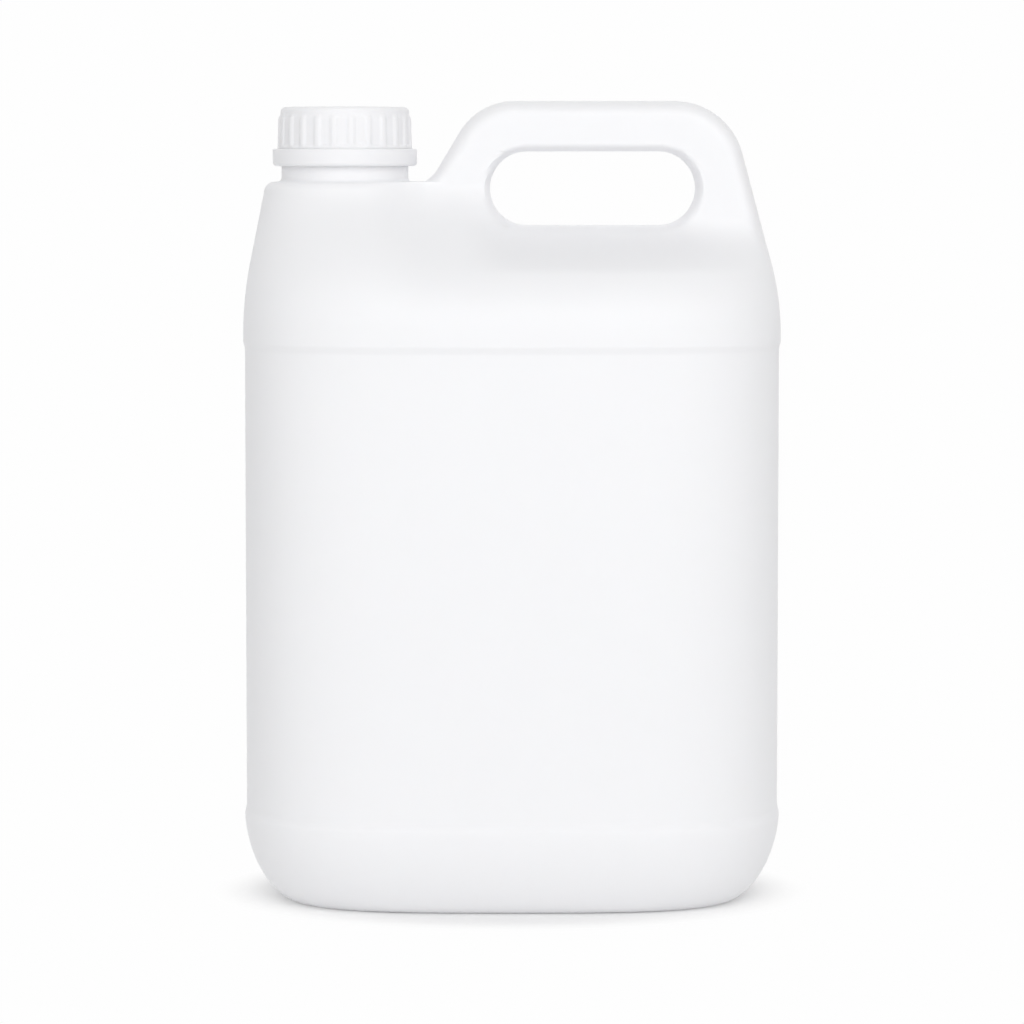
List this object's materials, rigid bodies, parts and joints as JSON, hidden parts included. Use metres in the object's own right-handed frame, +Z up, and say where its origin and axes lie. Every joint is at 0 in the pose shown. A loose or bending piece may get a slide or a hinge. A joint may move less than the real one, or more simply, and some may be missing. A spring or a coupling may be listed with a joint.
{
  "type": "handled plastic jug",
  "caption": "Upright white blow-moulded plastic jug with a through-handle, an offset neck, a recessed label panel and a ribbed screw cap over a tamper ring.",
  "frame": {"origin": "middle of the standing edge, on the surface that the jug stands on", "axes": "+Z up, +X from the neck side to the handle side, -Y to the front"},
  "size_m": [0.19, 0.14, 0.282],
  "materials": {
    "jug_wall": "satin white high-density polyethylene, blow-moulded",
    "cap_plastic": "satin white polyethylene, injection-moulded",
    "disc_foam": "dull white expanded polyethylene"
  },
  "bodies": {
    "jug": {"jug": "jug_wall"},
    "disc": {"sealing_disc": "disc_foam"},
    "cap": {"screw_cap": "cap_plastic"},
    "ring": {"tamper_ring": "cap_plastic"}
  },
  "joints": [
    {"name": "cap_rise", "type": "slide", "parent": "jug", "child": "disc", "axis": [0, 0, 1], "range_m": [0, 0.0241]},
    {"name": "cap_turn", "type": "hinge", "parent": "disc", "child": "cap", "pos_m": [-0.0593, 0, 0.27], "axis": [0, 0, 1], "range_deg": [0, 2160]},
    {"name": "ring_turn", "type": "hinge", "parent": "jug", "child": "ring", "pos_m": [-0.0593, 0, 0.262], "axis": [0, 0, 1], "continuous": true}
  ],
  "couplings": [
    {"joint": "cap_rise", "follows": "cap_turn", "m_per_rad": 0.00063662}
  ]
}
